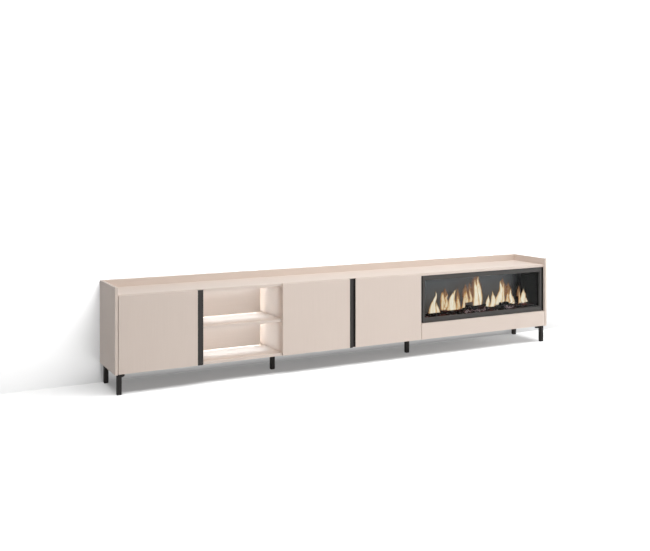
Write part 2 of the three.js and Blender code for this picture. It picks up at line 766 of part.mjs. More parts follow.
// Half widths of a tongue at its foot, belly and neck, as shares of its width
const footShare = 0.34;
const bellyShare = 0.56;
const neckShare = 0.12;
const bellyRiseShare = 0.28;
const neckRiseShare = 0.68;

function tongueOutline(x, width, lean, height) {
  const shape = new THREE.Shape();
  const sway = lean + width * neckShare;
  const belly = burnerTop + height * bellyRiseShare;
  const neck = burnerTop + height * neckRiseShare;
  const tip = [x + lean, burnerTop + height];
  shape.moveTo(x - width * footShare, burnerTop);
  shape.lineTo(x + width * footShare, burnerTop);
  shape.bezierCurveTo(x + width * bellyShare, belly, x + sway + width * neckShare, neck, ...tip);
  shape.bezierCurveTo(x + sway - width * neckShare, neck, x - width * bellyShare, belly,
    x - width * footShare, burnerTop);
  return shape;
}

function makeFlames() {
  const windowWidth = windowRight - windowLeft;
  const room = windowTop - burnerTop;
  const tongues = tongueShares.map(([along, width, lean, height], index) => {
    const x = windowLeft + along * windowWidth;
    const y = burnerFront + tongueThickness + (index % tongueLayers) * tongueSpacing;
    const shape = tongueOutline(x, width * windowWidth, lean * windowWidth, height * room);
    return upright(shape, y, y + tongueThickness, tongueSegments);
  });
  const foot = boxGeometry([windowLeft, windowRight],
    [burnerFront + tongueThickness, burnerFront + tongueLayers * tongueSpacing + tongueThickness],
    [burnerTop, burnerTop + tongueFoot]);
  addPiece('flame_tongues', joined([foot, ...tongues]), flameGlow);
}

makeCarcase();
makeBacks();
makeShelves();
makeNicheLights();
makeDoors();
makePulls();
makeLegs();
makeFireFrame();
makeFireHousing();
makeFireBed();
makeFlames();

export default cabinet;
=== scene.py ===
import bmesh
import bpy
import math
import random
from mathutils import Matrix, Vector, noise


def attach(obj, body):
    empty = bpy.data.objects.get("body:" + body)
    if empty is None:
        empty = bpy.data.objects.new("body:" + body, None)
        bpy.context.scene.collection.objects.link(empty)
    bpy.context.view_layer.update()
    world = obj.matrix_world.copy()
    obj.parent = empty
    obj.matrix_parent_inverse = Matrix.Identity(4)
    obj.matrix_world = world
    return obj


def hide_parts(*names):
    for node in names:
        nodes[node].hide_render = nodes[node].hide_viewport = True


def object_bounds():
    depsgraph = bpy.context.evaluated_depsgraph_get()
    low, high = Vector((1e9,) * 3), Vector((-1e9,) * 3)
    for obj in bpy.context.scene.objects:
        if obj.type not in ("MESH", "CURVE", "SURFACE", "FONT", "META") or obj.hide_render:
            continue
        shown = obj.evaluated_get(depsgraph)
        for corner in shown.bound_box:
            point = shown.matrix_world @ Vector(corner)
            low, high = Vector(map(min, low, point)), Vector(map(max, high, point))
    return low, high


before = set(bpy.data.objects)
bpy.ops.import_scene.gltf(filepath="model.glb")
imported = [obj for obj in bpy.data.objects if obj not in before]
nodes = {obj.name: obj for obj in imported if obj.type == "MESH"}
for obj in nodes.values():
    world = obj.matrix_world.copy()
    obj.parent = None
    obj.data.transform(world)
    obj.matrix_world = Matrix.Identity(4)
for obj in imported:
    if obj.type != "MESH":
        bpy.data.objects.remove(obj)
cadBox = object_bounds()
mm = 0.001
# the floor under the cabinet's front left corner: the fire's and the outlets' places start here
frontLeft = cadBox[0]
plainWhite = (1, 1, 1, 1)
print("cabinet loaded,", len(nodes), "nodes")


def linear(hexColour):
    # sRGB hex to the linear colour that a shader takes
    channels = [int(hexColour[i:i + 2], 16) / 255 for i in (1, 3, 5)]
    return tuple(c / 12.92 if c <= 0.04045 else ((c + 0.055) / 1.055) ** 2.4 for c in channels) + (1,)


def addNode(tree, kind, settings=None, inputs=None):
    # an input is a fixed value, or an output of another node to link to it
    node = tree.nodes.new(kind)
    for name, value in (settings or {}).items():
        setattr(node, name, value)
    for name, value in (inputs or {}).items():
        if isinstance(value, bpy.types.NodeSocket):
            tree.links.new(value, node.inputs[name])
        else:
            node.inputs[name].default_value = value
    return node


def newMaterial(name, viewColour):
    material = bpy.data.materials.new(name)
    material.use_nodes = True
    material.diffuse_color = linear(viewColour)
    material.node_tree.nodes.clear()
    return material, material.node_tree


def setRamp(node, stops):
    ramp = node.color_ramp
    while len(ramp.elements) > len(stops):
        ramp.elements.remove(ramp.elements[-1])
    while len(ramp.elements) < len(stops):
        ramp.elements.new(1)
    for element, (place, colour) in zip(ramp.elements, stops):
        element.position = place
        element.color = linear(colour)
    return node


# Camera: level, with its upright lines kept upright, to the left of the cabinet
photo = {
    "width": 650,
    "focalPixels": 859.57,
    "horizonRow": 163.57,
    "middleRow": 275.5,
    "place": (-2.74456, -4.86686, 1.27551),
    "turn": 0.488826,
    "sensorWidth": 36,
    "clip": (0.1, 100),
}


def makeCamera():
    data = bpy.data.cameras.new("photoCamera")
    data.sensor_width = photo["sensorWidth"]
    data.lens = photo["focalPixels"] / photo["width"] * photo["sensorWidth"]
    data.shift_y = (photo["horizonRow"] - photo["middleRow"]) / photo["width"]
    data.clip_start, data.clip_end = photo["clip"]
    camera = bpy.data.objects.new("photoCamera", data)
    camera.location = photo["place"]
    camera.rotation_euler = (math.pi / 2, 0, -photo["turn"])
    bpy.context.scene.collection.objects.link(camera)
    bpy.context.scene.camera = camera


makeCamera()
bpy.context.scene.view_settings.view_transform = "Standard"
print("camera placed")

# Studio: a paper floor, a paper wall against the back, a pale world and soft lamps. Some lamps
# shine on one sheet of paper alone, so that it comes out white round a soft shadow, and others
# on the cabinet or its left end alone.
studio = {
    "floorReach": 9,
    "wallReach": 9,
    "wallHeight": 5,
    "wallGap": 1.5 * mm,
    # the paper's shade to the camera, in mirrors and panes, and to light that bounces off it
    "seenShade": 0.3,
    "mirrorShade": 0.28,
    "bounceShade": 0.192,
    # the white that the camera, mirrors and panes see added to it
    "lift": 0.21,
    # further than this from the cabinet's middle the paper goes over to plain white
    "whiteFrom": 2.3,
    "whiteAt": 3.8,
    "worldLevel": 0.134,
}
lamps = {
    "wallLamp": {"size": (5.2, 1.8), "power": 1440, "place": (0.45, -0.8, 3.1),
                 "aim": (0.3, -0.3, 0), "lights": "wall"},
    "floorLamp": {"size": (6.0, 2.4), "power": 640, "place": (0.3, -1.1, 3.1),
                  "aim": (0.3, -1.1, 0), "lights": "floor"},
    "lowRightLamp": {"size": (1.4, 0.6), "power": 150, "place": (3.3, -0.6, 0.4),
                     "aim": (1.2, 0, 0.03), "lights": "floor", "unseen": True},
    # what the bright floor sends up to the wall's foot under the cabinet
    "floorBounce": {"size": (3.2, 0.16), "power": 26, "place": (0.1, -0.06, 0.006),
                    "aim": (0.1, -0.06, 1), "lights": "wall", "unseen": True},
    "overheadLamp": {"size": (5.2, 2.6), "power": 118, "place": (0.3, -0.75, 3.1),
                     "aim": (0.1, -0.3, 0)},
    "rightLamp": {"size": (2.4, 2.4), "power": 56, "place": (4.6, -3.2, 1.3),
                  "aim": (0.5, -0.1, 0.35)},
    "lowFrontLamp": {"size": (5.0, 1.6), "power": 37.5, "place": (0.6, -4.6, 1.0),
                     "aim": (0.3, -0.1, 0.35)},
    "leftLamp": {"size": (1.0, 1.6), "power": 2.4, "place": (-4.2, -0.45, 1.2),
                 "aim": (-1.5, -0.1, 0.35), "colour": (1.0, 0.74, 0.58), "lights": "leftEnd"},
    # for views of the back: it misses the paper, and hardly shows from the front
    "rearLamp": {"size": (4.0, 1.0), "power": 45, "place": (0, 4.0, 0.5),
                 "aim": (0, 0.17, 0.35), "lights": "cabinet", "unseen": True},
}
# a lamp that has a "lights" entry shines on that group of objects alone
litGroups = {name: bpy.data.collections.new(name + "Lit")
             for name in ("floor", "wall", "cabinet", "leftEnd")}
for node in nodes.values():
    litGroups["cabinet"].objects.link(node)
for name in ("side_panel_left", "leg_front_left", "leg_back_left"):
    litGroups["leftEnd"].objects.link(nodes[name])


def directlySeen(tree):
    # 1 for what the camera, a mirror or a pane sees, 0 for light that bounces
    rays = addNode(tree, "ShaderNodeLightPath")
    sharp = addNode(tree, "ShaderNodeMath", {"operation": "MAXIMUM"}, {
        0: rays.outputs["Is Camera Ray"], 1: rays.outputs["Is Glossy Ray"]})
    seen = addNode(tree, "ShaderNodeMath", {"operation": "MAXIMUM"}, {
        0: sharp.outputs[0], 1: rays.outputs["Is Transmission Ray"]})
    return rays, seen.outputs[0]


def makeBackdrop(name, group, corners, seenFromOneSide):
    mesh = bmesh.new()
    mesh.faces.new([mesh.verts.new(corner) for corner in corners])
    data = bpy.data.meshes.new(name)
    mesh.to_mesh(data)
    mesh.free()
    backdrop = bpy.data.objects.new(name, data)
    bpy.context.scene.collection.objects.link(backdrop)
    litGroups[group].objects.link(backdrop)
    # matt paper: it shows soft shadows, and the camera sees it a little lifted to white
    material, tree = newMaterial(name + "Paper", "#ffffff")
    rays, seen = directlySeen(tree)
    offPaper = addNode(tree, "ShaderNodeMapRange", inputs={
        "Value": seen, "To Min": studio["bounceShade"], "To Max": studio["mirrorShade"]})
    shade = addNode(tree, "ShaderNodeMapRange", inputs={
        "Value": rays.outputs["Is Camera Ray"],
        "To Min": offPaper.outputs[0], "To Max": studio["seenShade"]})
    matt = addNode(tree, "ShaderNodeBsdfDiffuse", inputs={"Color": shade.outputs[0]})
    place = addNode(tree, "ShaderNodeTexCoord")
    away = addNode(tree, "ShaderNodeVectorMath", {"operation": "LENGTH"}, {
        0: place.outputs["Object"]})
    whiter = addNode(tree, "ShaderNodeMapRange", {"interpolation_type": "SMOOTHSTEP"}, {
        "Value": away.outputs["Value"], "From Min": studio["whiteFrom"],
        "From Max": studio["whiteAt"], "To Min": studio["lift"], "To Max": 1.0})
    lift = addNode(tree, "ShaderNodeMath", {"operation": "MULTIPLY"}, {
        0: seen, 1: whiter.outputs[0]})
    glow = addNode(tree, "ShaderNodeEmission", inputs={
        "Color": plainWhite, "Strength": lift.outputs[0]})
    paper = addNode(tree, "ShaderNodeAddShader", inputs={0: matt.outputs[0], 1: glow.outputs[0]})
    surface = paper.outputs[0]
    if seenFromOneSide:
        # the camera alone sees it, from its front alone, and all light passes through it
        clear = addNode(tree, "ShaderNodeBsdfTransparent")
        side = addNode(tree, "ShaderNodeNewGeometry")
        front = addNode(tree, "ShaderNodeMath", {"operation": "SUBTRACT"},
                        {0: rays.outputs["Is Camera Ray"], 1: side.outputs["Backfacing"]})
        surface = addNode(tree, "ShaderNodeMixShader", inputs={
            0: front.outputs[0], 1: clear.outputs[0], 2: surface}).outputs[0]
    addNode(tree, "ShaderNodeOutputMaterial", inputs={"Surface": surface})
    data.materials.append(material)


def makeWorld():
    world = bpy.data.worlds.new("studioWorld")
    world.use_nodes = True
    tree = world.node_tree
    tree.nodes.clear()
    seen = directlySeen(tree)[1]
    level = addNode(tree, "ShaderNodeMapRange", inputs={
        "Value": seen, "To Min": studio["worldLevel"], "To Max": 1})
    light = addNode(tree, "ShaderNodeBackground", inputs={
        "Color": plainWhite, "Strength": level.outputs[0]})
    addNode(tree, "ShaderNodeOutputWorld", inputs={"Surface": light.outputs[0]})
    bpy.context.scene.world = world


def makeLamp(name, lamp):
    data = bpy.data.lights.new(name, "AREA")
    data.shape = "RECTANGLE"
    data.size, data.size_y = lamp["size"]
    data.energy = lamp["power"]
    data.color = lamp.get("colour", (1, 1, 1))
    data.spread = lamp.get("spread", math.pi)
    light = bpy.data.objects.new(name, data)
    light.location = lamp["place"]
    aim = Vector(lamp["aim"]) - Vector(lamp["place"])
    light.rotation_euler = aim.to_track_quat("-Z", "Y").to_euler()
    bpy.context.scene.collection.objects.link(light)
    if lamp.get("lights"):
        light.light_linking.receiver_collection = litGroups[lamp["lights"]]
    if lamp.get("unseen"):
        light.visible_camera = False
        light.visible_glossy = False


floorReach, wallReach, wallHeight = [studio[key] for key in ("floorReach", "wallReach", "wallHeight")]
wallPlace = cadBox[1].y + studio["wallGap"]
makeBackdrop("studioFloor", "floor", [
    (-floorReach, -floorReach, 0), (floorReach, -floorReach, 0),
    (floorReach, floorReach, 0), (-floorReach, floorReach, 0)], seenFromOneSide=False)
makeBackdrop("studioWall", "wall", [
    (-wallReach, wallPlace, 0), (wallReach, wallPlace, 0),
    (wallReach, wallPlace, wallHeight), (-wallReach, wallPlace, wallHeight)], seenFromOneSide=True)
makeWorld()
for lampName, lamp in lamps.items():
    makeLamp(lampName, lamp)

# The niche's own light: what its hidden strips send into each bay, above and below its shelf
nicheGlow = {
    # the floor and the top of each bay, the lamps' reach from left to right, and the panels' front
    "bays": {"upper": (0.336, 0.534), "lower": (0.132, 0.318)},
    "left": -0.999,
    "right": -0.577,
    "panelFront": 0.093,
    "colour": (0.72, 0.88, 1.0),
    # lamps shine down from each bay's top, back at its panel's head, and out to either wall
    "clear": 0.004,
    "downPower": 0.3,
    "downDepth": 0.14,
    "downGap": 0.01,
    "downSpread": 1.1,
    "sideSpread": 1.9,
    "headPower": 0.085,
    "headDepth": 0.012,
    "headGap": 0.05,
    "sidePower": 0.048,
    "sideDepth": 0.195,
    "sideGap": 0.005,
    "sideTrim": 0.02,
}


def makeNicheGlow():
    left, right, front = nicheGlow["left"], nicheGlow["right"], nicheGlow["panelFront"]
    middle, reach = (left + right) / 2, right - left
    downPlace = front - nicheGlow["downGap"] - nicheGlow["downDepth"] / 2
    sidePlace = front - nicheGlow["sideGap"] - nicheGlow["sideDepth"] / 2
    headPlace = front - nicheGlow["headGap"]
    for bay, (low, high) in nicheGlow["bays"].items():
        half, head = (low + high) / 2, high - nicheGlow["headDepth"]
        upright = (nicheGlow["sideDepth"], high - low - nicheGlow["sideTrim"])
        glows = {
            "Down": ((reach, nicheGlow["downDepth"]), nicheGlow["downPower"],
                     nicheGlow["downSpread"], (middle, downPlace, high - nicheGlow["clear"]),
                     (middle, downPlace, low)),
            "Head": ((reach, nicheGlow["headDepth"]), nicheGlow["headPower"], math.pi,
                     (middle, headPlace, head), (middle, front, head)),
            "Left": (upright, nicheGlow["sidePower"], nicheGlow["sideSpread"],
                     (left, sidePlace, half), (left - 1, sidePlace, half)),
            "Right": (upright, nicheGlow["sidePower"], nicheGlow["sideSpread"],
                      (right, sidePlace, half), (right + 1, sidePlace, half)),
        }
        for side, (size, power, spread, start, aim) in glows.items():
            makeLamp(bay + "Bay" + side, {
                "size": size, "power": power, "spread": spread, "place": start, "aim": aim,
                "colour": nicheGlow["colour"], "unseen": True})


makeNicheGlow()
print("studio lit")

# Melamine faced board: printed paper in matt resin, pressed on a fine pored plate.
# It gives an even warm grey beige with a faint grain that only glancing light picks up.
board = {
    "light": "#ddcec3",
    "dark": "#dacbc0",
    "grainWidth": 5 * mm,
    "grainLength": 260 * mm,
    "poreSize": 0.9 * mm,
    "roughness": (0.42, 0.52),
    "relief": 0.12,
    "specular": 0.35,
}


def melamine(name, along):
    # along is the axis that the grain runs on: 0 across the cabinet, 2 up it
    material, tree = newMaterial(name, board["light"])
    place = addNode(tree, "ShaderNodeTexCoord")
    scale = [1 / board["grainWidth"]] * 3
    scale[along] = 1 / board["grainLength"]
    stretched = addNode(tree, "ShaderNodeMapping", inputs={
        "Vector": place.outputs["Object"], "Scale": scale})
    grain = addNode(tree, "ShaderNodeTexNoise", inputs={
        "Vector": stretched.outputs[0], "Scale": 1.0, "Detail": 4.0, "Roughness": 0.6})
    tone = setRamp(addNode(tree, "ShaderNodeValToRGB", inputs={"Fac": grain.outputs["Fac"]}),
                   [(0.3, board["dark"]), (0.7, board["light"])])
    pores = addNode(tree, "ShaderNodeTexNoise", inputs={
        "Vector": stretched.outputs[0], "Scale": board["grainWidth"] / board["poreSize"],
        "Detail": 2.0})
    sheen = addNode(tree, "ShaderNodeMapRange", inputs={
        "Value": pores.outputs["Fac"], "From Min": 0.3, "From Max": 0.7,
        "To Min": board["roughness"][0], "To Max": board["roughness"][1]})
    relief = addNode(tree, "ShaderNodeBump", inputs={
        "Height": pores.outputs["Fac"], "Strength": board["relief"], "Distance": 0.1 * mm})
    shader = addNode(tree, "ShaderNodeBsdfPrincipled", inputs={
        "Base Color": tone.outputs["Color"], "Roughness": sheen.outputs[0],
        "Normal": relief.outputs[0], "IOR": 1.5, "Specular IOR Level": board["specular"]})
    addNode(tree, "ShaderNodeOutputMaterial", inputs={"Surface": shader.outputs[0]})
    return material


def speckled(name, colours, grain, roughness, metallic=0.0, bump=0.1, depth=0.1 * mm, specular=0.5):
    # a finish of two tones in a fine noise, with the same noise in its gloss and relief
    material, tree = newMaterial(name, colours[0])
    place = addNode(tree, "ShaderNodeTexCoord")
    flecks = addNode(tree, "ShaderNodeTexNoise", inputs={
        "Vector": place.outputs["Object"], "Scale": 1 / grain, "Detail": 3.0})
    tone = setRamp(addNode(tree, "ShaderNodeValToRGB", inputs={"Fac": flecks.outputs["Fac"]}),
                   [(0.35, colours[0]), (0.65, colours[1])])
    sheen = addNode(tree, "ShaderNodeMapRange", inputs={
        "Value": flecks.outputs["Fac"], "From Min": 0.3, "From Max": 0.7,
        "To Min": roughness[0], "To Max": roughness[1]})
    relief = addNode(tree, "ShaderNodeBump", inputs={
        "Height": flecks.outputs["Fac"], "Strength": bump, "Distance": depth})
    shader = addNode(tree, "ShaderNodeBsdfPrincipled", inputs={
        "Base Color": tone.outputs["Color"], "Roughness": sheen.outputs[0], "Metallic": metallic,
        "Normal": relief.outputs[0], "IOR": 1.5, "Specular IOR Level": specular})
    addNode(tree, "ShaderNodeOutputMaterial", inputs={"Surface": shader.outputs[0]})
    return material


uprightBoard = melamine("melamineUprightGrain", 2)
levelBoard = melamine("melamineLevelGrain", 0)
# hardboard with one lacquered face: a little darker and duller than the boards
hardboard = speckled("lacqueredHardboard", ("#d3c4b9", "#d7c9be"), 1.5 * mm, (0.5, 0.65),
                     bump=0.15)
# black powder coat on steel tube: near black and dull, with a fine orange peel
powderCoat = speckled("blackPowderCoat", ("#2c2a29", "#302e2d"), 1.6 * mm, (0.5, 0.64),
                      bump=0.25, specular=0.12)
# anodised aluminium pull, dyed black: smoother than the legs, with a soft gloss
blackAnodised = speckled("blackAnodisedAluminium", ("#2b2827", "#2f2c2a"), 0.8 * mm, (0.4, 0.5),
                         specular=0.26)
# enamelled steel frame of the fire: charcoal, satin
fireEnamel = speckled("charcoalEnamel", ("#3d3b39", "#413f3d"), 1.2 * mm, (0.38, 0.48),
                      bump=0.12, specular=0.24)
# nickel plated pressed steel of the hinges: bright, with fine marks
nickelPlate = speckled("nickelPlatedSteel", ("#c9c7c1", "#d3d1cb"), 0.7 * mm, (0.22, 0.34),
                       metallic=1.0)
# moulded glass filled polyamide of the mains inlet: matt black
inletPlastic = speckled("blackPolyamide", ("#151515", "#1b1b1b"), 0.9 * mm, (0.5, 0.6), bump=0.2)
# cast polyurethane of the door buffers: milky, with a soft gloss
softBuffer = speckled("milkyPolyurethane", ("#d9dad6", "#e2e3df"), 1.1 * mm, (0.3, 0.4), bump=0.05)

# The sheet steel round the fire
lining = {
    "unshadedColour": "#87878f",
    # the near black of the painted shade at the right end and on the right wall
    "paintedShadeColour": "#0b0a0a",
    # the painted shade begins and is full at these places across the cabinet, which drift with soft
    # clouds
    "paintedShade": (1.43, 1.57),
    "paintedShadeDrift": 0.16,
    "cloudSize": 180 * mm,
    "speckSize": 1.4 * mm,
    "roughness": 0.75,
    "specular": 0.02,
}


def fireboxLining():
    # heat resistant paint on sheet steel: slate grey, darkened to near black towards the right end by
    # painted shade
    material, tree = newMaterial("heatPaintWithPaintedShade", "#5c6064")
    place = addNode(tree, "ShaderNodeTexCoord")
    axes = addNode(tree, "ShaderNodeSeparateXYZ", inputs={0: place.outputs["Object"]})
    clouds = addNode(tree, "ShaderNodeTexNoise", inputs={
        "Vector": place.outputs["Object"], "Scale": 1 / lining["cloudSize"], "Detail": 3.0})
    drift = addNode(tree, "ShaderNodeMath", {"operation": "MULTIPLY_ADD"}, {
        0: clouds.outputs["Fac"], 1: lining["paintedShadeDrift"], 2: axes.outputs["X"]})
    # painted shade: the lining goes from its own grey to near black towards the right end
    paintedShade = addNode(tree, "ShaderNodeMapRange", {"interpolation_type": "SMOOTHSTEP"}, {
        "Value": drift.outputs[0], "From Min": lining["paintedShade"][0], "From Max": lining["paintedShade"][1]})
    tone = setRamp(addNode(tree, "ShaderNodeValToRGB", inputs={"Fac": paintedShade.outputs[0]}),
                   [(0, lining["unshadedColour"]), (1, lining["paintedShadeColour"])])
    specks = addNode(tree, "ShaderNodeTexNoise", inputs={
        "Vector": place.outputs["Object"], "Scale": 1 / lining["speckSize"], "Detail": 2.0})
    relief = addNode(tree, "ShaderNodeBump", inputs={
        "Height": specks.outputs["Fac"], "Strength": 0.15, "Distance": 0.1 * mm})
    shader = addNode(tree, "ShaderNodeBsdfPrincipled", inputs={
        "Base Color": tone.outputs["Color"], "Roughness": lining["roughness"],
        "Normal": relief.outputs[0], "Specular IOR Level": lining["specular"]})
    addNode(tree, "ShaderNodeOutputMaterial", inputs={"Surface": shader.outputs[0]})
    return material


# The pane in front of the fire
pane = {
    "tint": "#f3f7f6",
    "smearSize": 90 * mm,
    "roughness": (0.01, 0.05),
    # lower than plain glass has, because this pane mirrors little
    "index": 1.13,
}


def clearGlass():
    # toughened float glass: clear, mirrors a little of the room and more at a glance
    material, tree = newMaterial("toughenedGlass", "#e8efee")
    place = addNode(tree, "ShaderNodeTexCoord")
    smears = addNode(tree, "ShaderNodeTexNoise", inputs={
        "Vector": place.outputs["Object"], "Scale": 1 / pane["smearSize"], "Detail": 1.0})
    polish = addNode(tree, "ShaderNodeMapRange", inputs={
        "Value": smears.outputs["Fac"],
        "To Min": pane["roughness"][0], "To Max": pane["roughness"][1]})
    clear = addNode(tree, "ShaderNodeBsdfTransparent", inputs={"Color": linear(pane["tint"])})
    mirror = addNode(tree, "ShaderNodeBsdfGlossy", inputs={
        "Color": plainWhite, "Roughness": polish.outputs[0]})
    glance = addNode(tree, "ShaderNodeFresnel", inputs={"IOR": pane["index"]})
    mixed = addNode(tree, "ShaderNodeMixShader", inputs={
        0: glance.outputs[0], 1: clear.outputs[0], 2: mirror.outputs[0]})
    addNode(tree, "ShaderNodeOutputMaterial", inputs={"Surface": mixed.outputs[0]})
    return material


# The lamp strips behind the niche's panels
strip = {
    "acrylic": "#f3efe9",
    "light": "#dcebf4",
    "strength": (10.5, 12),
    "beatSize": 16 * mm,
}


def lampDiffuser():
    # opal acrylic over a strip of white diodes: even and bright, with a faint beat along it
    material, tree = newMaterial("litOpalAcrylic", "#fff1e2")
    place = addNode(tree, "ShaderNodeTexCoord")
    beat = addNode(tree, "ShaderNodeTexNoise", inputs={
        "Vector": place.outputs["Object"], "Scale": 1 / strip["beatSize"], "Detail": 0.0})
    level = addNode(tree, "ShaderNodeMapRange", inputs={
        "Value": beat.outputs["Fac"],
        "To Min": strip["strength"][0], "To Max": strip["strength"][1]})
    shader = addNode(tree, "ShaderNodeBsdfPrincipled", inputs={
        "Base Color": linear(strip["acrylic"]), "Roughness": 0.4,
        "Emission Color": linear(strip["light"]), "Emission Strength": level.outputs[0]})
    addNode(tree, "ShaderNodeOutputMaterial", inputs={"Surface": shader.outputs[0]})
    return material


# Logs, ember bed and coals: what their burnt finishes share
burnt = {
    "ashSize": 9 * mm,
    # the cracks are lit in patches of about this size
    "patchSize": 55 * mm,
    # how far a crack's light reaches into its lump, as a share of the lump's size
    "crackShare": 0.12,
    "roughness": 0.85,
    "specular": 0.12,
    "relief": 0.6,
    "reliefDepth": 1.5 * mm,
}


def emberMaterial(name, colours, crackColours, crackSize, glow):
    # burnt matter with hot cracks: black to ash on top, red to orange light from its clefts
    material, tree = newMaterial(name, colours[0])
    place = addNode(tree, "ShaderNodeTexCoord")
    ash = addNode(tree, "ShaderNodeTexNoise", inputs={
        "Vector": place.outputs["Object"], "Scale": 1 / burnt["ashSize"],
        "Detail": 5.0, "Roughness": 0.65})
    tone = setRamp(addNode(tree, "ShaderNodeValToRGB", inputs={"Fac": ash.outputs["Fac"]}),
                   [(0.3, colours[0]), (0.6, colours[1]), (0.75, colours[2])])
    cells = addNode(tree, "ShaderNodeTexVoronoi", {"feature": "DISTANCE_TO_EDGE"}, {
        "Vector": place.outputs["Object"], "Scale": 1 / crackSize})
    cleft = addNode(tree, "ShaderNodeMapRange", inputs={
        "Value": cells.outputs["Distance"], "From Min": 0.0, "From Max": burnt["crackShare"],
        "To Min": 1, "To Max": 0})
    patches = addNode(tree, "ShaderNodeTexNoise", inputs={
        "Vector": place.outputs["Object"], "Scale": 1 / burnt["patchSize"], "Detail": 1.0})
    warm = addNode(tree, "ShaderNodeMapRange", inputs={
        "Value": patches.outputs["Fac"], "From Min": 0.42, "From Max": 0.62})
    heat = addNode(tree, "ShaderNodeMath", {"operation": "MULTIPLY"}, {
        0: cleft.outputs[0], 1: warm.outputs[0]})
    fire = setRamp(addNode(tree, "ShaderNodeValToRGB", inputs={"Fac": heat.outputs[0]}),
                   [(0.0, "#000000"), (0.35, crackColours[0]), (1.0, crackColours[1])])
    relief = addNode(tree, "ShaderNodeBump", inputs={
        "Height": ash.outputs["Fac"], "Strength": burnt["relief"],
        "Distance": burnt["reliefDepth"]})
    shader = addNode(tree, "ShaderNodeBsdfPrincipled", inputs={
        "Base Color": tone.outputs["Color"], "Roughness": burnt["roughness"],
        "Normal": relief.outputs[0], "Specular IOR Level": burnt["specular"],
        "Emission Color": fire.outputs["Color"], "Emission Strength": glow})
    addNode(tree, "ShaderNodeOutputMaterial", inputs={"Surface": shader.outputs[0]})
    return material


liningPaint = fireboxLining()
paneGlass = clearGlass()
opalStrip = lampDiffuser()
# cast ceramic log, painted as burnt bark: near black, a few cracks dull red
charredBark = emberMaterial("castCeramicBark", ("#0d0a09", "#191311", "#362b26"),
                            ("#240806", "#7e2c18"), 14 * mm, 0.4)
# resin ember bed: near black gravel with a little dull crimson, lit from below
emberBed = emberMaterial("litEmberResin", ("#0e0a0a", "#1e1415", "#43292b"),
                         ("#2c0a0a", "#a03a2c"), 11 * mm, 0.6)
# lumps of charcoal on the bed: black, dusted with a little ash
charcoal = emberMaterial("ashDustedCharcoal", ("#0d0b0a", "#1a1513", "#332a27"),
                         ("#1a0504", "#5a1c10"), 12 * mm, 0.3)
# burnt out stones: mauve ash over black
ashStone = speckled("mauveAshStone", ("#2a1c20", "#d6b4bb"), 9 * mm, (0.7, 0.85),
                    bump=0.5, depth=1 * mm, specular=0.15)
# live coals: dull red through a black crust
liveCoal = emberMaterial("liveCoal", ("#150a09", "#38191a", "#764339"),
                         ("#5c1a12", "#c0543c"), 7 * mm, 0.55)

finishes = {
    uprightBoard: ["side_panel_left", "side_panel_right", "partition_niche_left",
                   "partition_niche_right", "partition_doors", "partition_fire",
                   "door_1", "door_2", "door_3"],
    levelBoard: ["top_board_left", "top_board_right", "gallery_rail_left", "gallery_rail_right",
                 "floor_board_left", "floor_board_middle", "floor_board_right", "shelf_door_1",
                 "shelf_door_2", "shelf_door_3", "niche_shelf", "fire_shelf", "base_panel",
                 "niche_light_panel_upper", "niche_light_panel_lower"],
    hardboard: ["back_panel_left", "back_panel_middle", "back_panel_right"],
    opalStrip: ["niche_lamp_strip_upper", "niche_lamp_strip_lower"],
    blackAnodised: ["pull_door_1", "pull_door_2", "recess_strip"],
    fireEnamel: ["fire_frame"],
    liningPaint: ["fire_housing"],
    paneGlass: ["fire_glass"],
    inletPlastic: ["fire_inlet"],
    emberBed: ["fire_bed"],
    charredBark: ["fire_log_1", "fire_log_2", "fire_log_3", "fire_log_4"],
    nickelPlate: [name for name in nodes if name.startswith("hinge_")],
    powderCoat: [name for name in nodes if name.startswith("leg_")],
}
for material, names in finishes.items():
    for name in names:
        nodes[name].data.materials.clear()
        nodes[name].data.materials.append(material)
print("finishes set on the cabinet")


def finishPiece(name, mesh, materials, body, smooth=True):
    # a bmesh in place becomes an object at the origin that rides on its body
    bmesh.ops.recalc_face_normals(mesh, faces=mesh.faces)
    data = bpy.data.meshes.new(name)
    mesh.to_mesh(data)
    mesh.free()
    for material in materials:
        data.materials.append(material)
    for face in data.polygons:
        face.use_smooth = smooth
    piece = bpy.data.objects.new(name, data)
    bpy.context.scene.collection.objects.link(piece)
    litGroups["cabinet"].objects.link(piece)
    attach(piece, body)
    return piece


